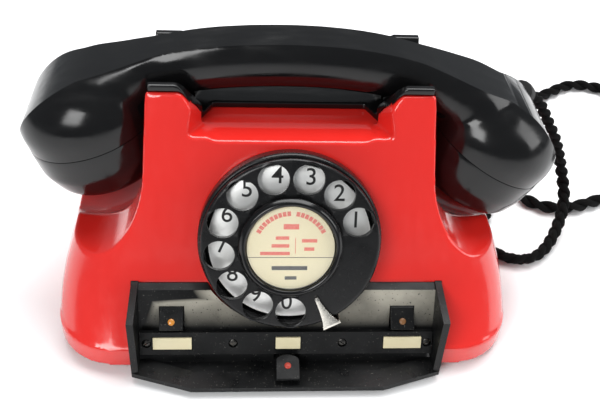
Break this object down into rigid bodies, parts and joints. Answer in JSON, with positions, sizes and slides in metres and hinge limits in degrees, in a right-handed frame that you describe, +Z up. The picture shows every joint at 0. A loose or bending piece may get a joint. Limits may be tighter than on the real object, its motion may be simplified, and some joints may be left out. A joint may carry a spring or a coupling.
{
  "type": "cradle telephone",
  "caption": "Desk telephone with a scooped case, horned cradle, lift-off handset, finger-wheel dial, sloping key tray and twisted cords.",
  "frame": {"origin": "on the table plane under the middle of the telephone, without its cords", "axes": "+Z up, -Y towards the user (the dial side), +X to the right as the user sees it"},
  "size_m": [0.4122, 0.289, 0.1292],
  "materials": {
    "case_red": "high gloss red, glass smooth",
    "bakelite_black": "polished black moulding",
    "tray_black": "satin black moulding with fine dust",
    "rubber": "matte black rubber",
    "nickel": "worn bright nickel",
    "silver_ring": "satin silver with black numerals",
    "card_cream": "cream card",
    "clear_cover": "clear cover",
    "steel": "plain steel",
    "brass": "plain brass",
    "copper_coil": "lacquered copper winding",
    "cotton_cord": "plaited and twisted black cotton"
  },
  "bodies": {
    "root": {"case_shell": "case_red", "base_plate": "steel", "foot_front_left": "rubber", "foot_front_right": "rubber", "foot_rear_left": "rubber", "foot_rear_right": "rubber", "cradle": "bakelite_black", "hook_switch": "steel", "dial_case": "bakelite_black", "number_ring": "silver_ring", "finger_stop": "nickel", "key_tray": "tray_black", "tray_screw_1": "steel", "tray_screw_2": "steel", "tray_screw_3": "steel", "tray_screw_4": "steel", "label_strip": "tray_black", "label_left": "card_cream", "label_centre": "card_cream", "label_right": "card_cream", "key_springset": "steel", "gong_left": "brass", "gong_right": "brass", "gong_post_left": "steel", "gong_post_right": "steel", "ringer_coils": "copper_coil", "capacitor": "steel", "induction_coil": "copper_coil", "terminal_strip": "tray_black", "line_cord_bush": "rubber", "handset_cord_inlet": "rubber", "handset_cord": "cotton_cord", "line_cord": "cotton_cord", "line_cord_tail": "cotton_cord", "line_cord_coil": "cotton_cord", "terminal_block": "bakelite_black"},
    "dial": {"finger_wheel": "bakelite_black", "card_ring": "bakelite_black", "dial_card": "card_cream", "card_cover": "clear_cover", "dial_shaft": "brass", "dial_gear": "brass"},
    "governor": {"governor": "brass"},
    "handset": {"handset_handle": "bakelite_black", "earpiece_cap": "bakelite_black", "mouthpiece_cap": "bakelite_black", "receiver_capsule": "steel", "transmitter_capsule": "steel", "handset_cord_bush": "rubber"},
    "plunger_left": {"hook_plunger_left": "bakelite_black"},
    "plunger_right": {"hook_plunger_right": "bakelite_black"},
    "key_left": {"key_left": "tray_black"},
    "key_centre": {"key_centre": "tray_black"},
    "key_right": {"key_right": "tray_black"},
    "clapper": {"clapper": "steel"}
  },
  "joints": [
    {"name": "dial_rotation", "type": "hinge", "parent": "root", "child": "dial", "pos_m": [-0.0034, -0.04438, 0.05721], "axis": [0, 0.9317, -0.3633], "range_deg": [0, 330], "stiffness_Nm_per_rad": 0.01},
    {"name": "governor_spin", "type": "hinge", "parent": "root", "child": "governor", "pos_m": [-0.02139, -0.03538, 0.08027], "axis": [0, 0.9317, -0.3633], "range_deg": [-1330, 10]},
    {"name": "handset_lift", "type": "slide", "parent": "root", "child": "handset", "axis": [0, 0, 1], "range_m": [0, 0.06]},
    {"name": "hook_plunger_left_slide", "type": "slide", "parent": "root", "child": "plunger_left", "axis": [0, 0, 1], "range_m": [0, 0.0041]},
    {"name": "hook_plunger_right_slide", "type": "slide", "parent": "root", "child": "plunger_right", "axis": [0, 0, 1], "range_m": [0, 0.0041]},
    {"name": "key_left_press", "type": "hinge", "parent": "root", "child": "key_left", "pos_m": [-0.0543, -0.05871, 0.02705], "axis": [1, 0, 0], "range_deg": [0, 12], "stiffness_Nm_per_rad": 0.05},
    {"name": "key_centre_press", "type": "hinge", "parent": "root", "child": "key_centre", "pos_m": [-0.0034, -0.062, 0.007], "axis": [1, 0, 0], "range_deg": [0, 2], "stiffness_Nm_per_rad": 0.3},
    {"name": "key_right_press", "type": "hinge", "parent": "root", "child": "key_right", "pos_m": [0.0475, -0.05871, 0.02705], "axis": [1, 0, 0], "range_deg": [0, 12], "stiffness_Nm_per_rad": 0.05},
    {"name": "clapper_swing", "type": "hinge", "parent": "root", "child": "clapper", "pos_m": [-0.0254, -0.005, 0.036], "axis": [0, 0, 1], "range_deg": [-3, 3], "stiffness_Nm_per_rad": 0.02}
  ],
  "couplings": [
    {"joint": "governor_spin", "follows": "dial_rotation", "ratio": -4},
    {"joint": "hook_plunger_left_slide", "follows": "handset_lift", "ratio": 0.0667},
    {"joint": "hook_plunger_right_slide", "follows": "handset_lift", "ratio": 0.0667}
  ]
}
